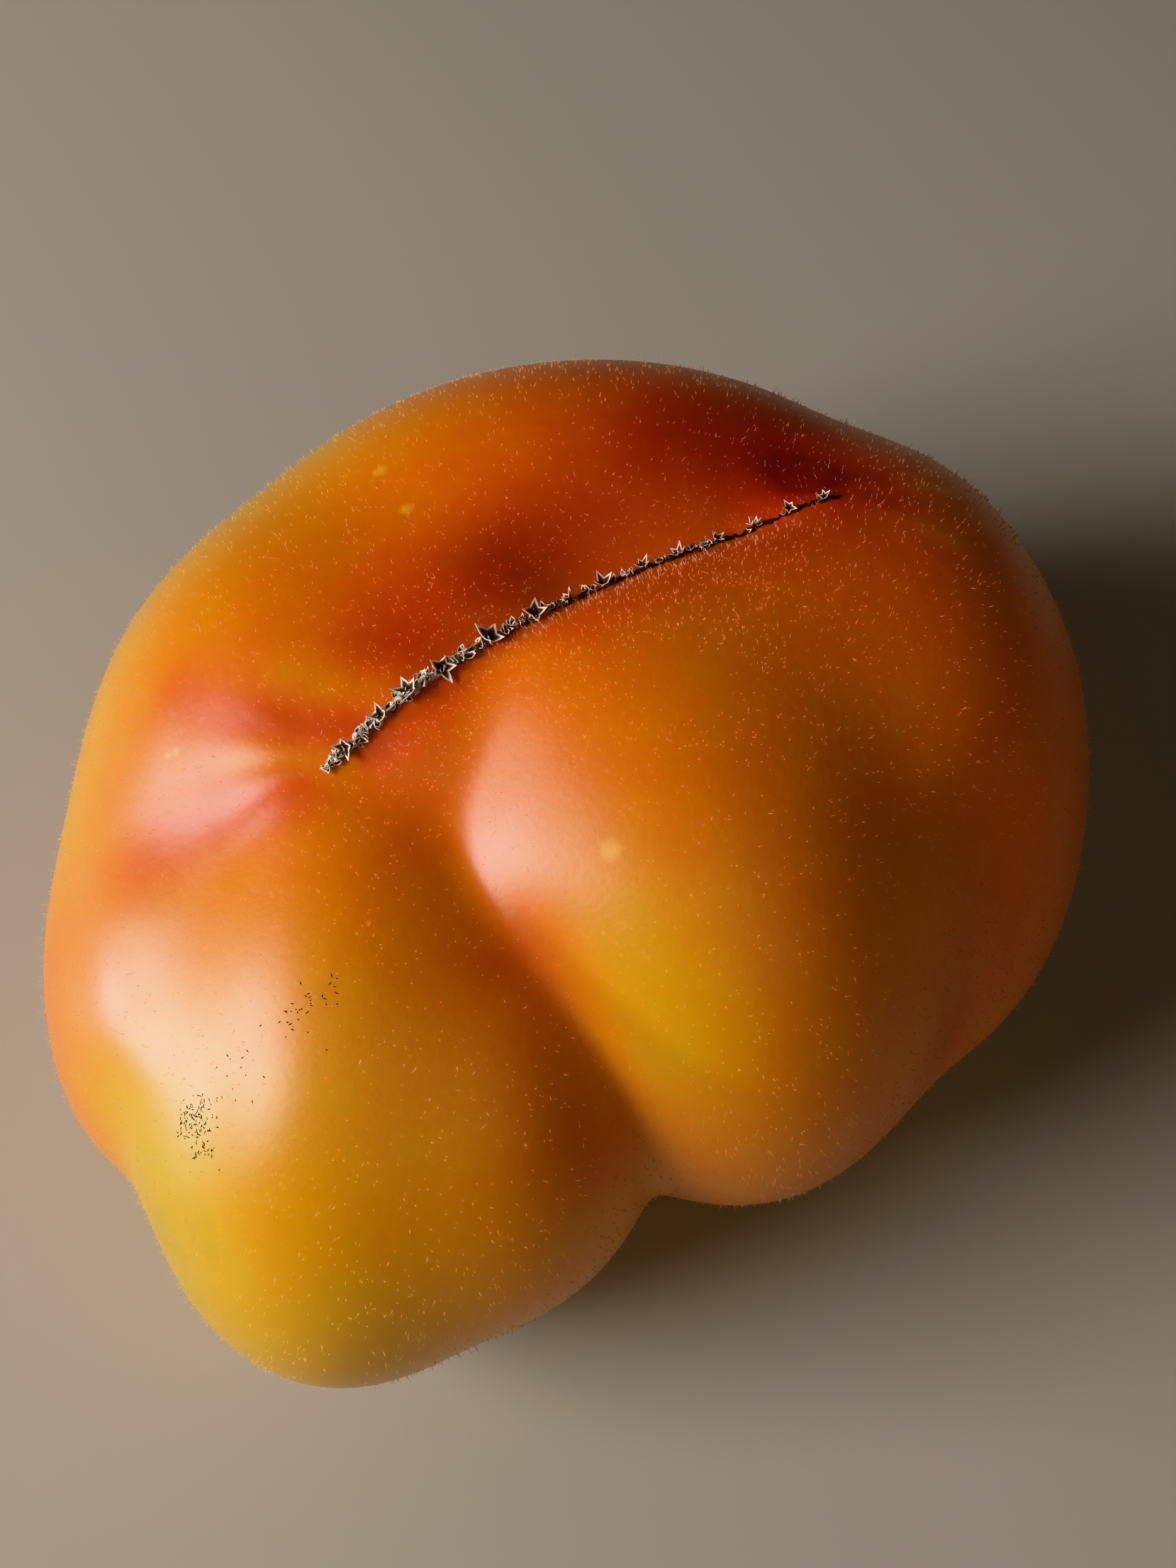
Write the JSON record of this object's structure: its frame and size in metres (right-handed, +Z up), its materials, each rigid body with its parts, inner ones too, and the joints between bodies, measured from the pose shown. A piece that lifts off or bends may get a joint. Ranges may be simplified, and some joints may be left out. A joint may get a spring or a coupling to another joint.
{
  "type": "tomato",
  "caption": "Large lobed bicoloured beefsteak tomato, as picked, resting on its stem end, with a corky blossom scar in a fold across its top.",
  "frame": {"origin": "on the surface it rests on, below the middle of the fruit's box", "axes": "+Z up from the stem end to the blossom end, +X to the right of the deep front furrow, -Y to the front"},
  "size_m": [0.1064, 0.1054, 0.0651],
  "materials": {
    "skin": "thin waxy tomato skin over soft flesh, satin gloss, orange to yellow with a red blush, finely haired",
    "blossom_cork": "dry matt cork, grey brown with cream edges",
    "stem_cork": "dry matt cork, tan, with a darker pit"
  },
  "bodies": {
    "root": {"fruit": "skin", "blossom_scar": "blossom_cork", "stem_scar": "stem_cork"}
  },
  "joints": []
}
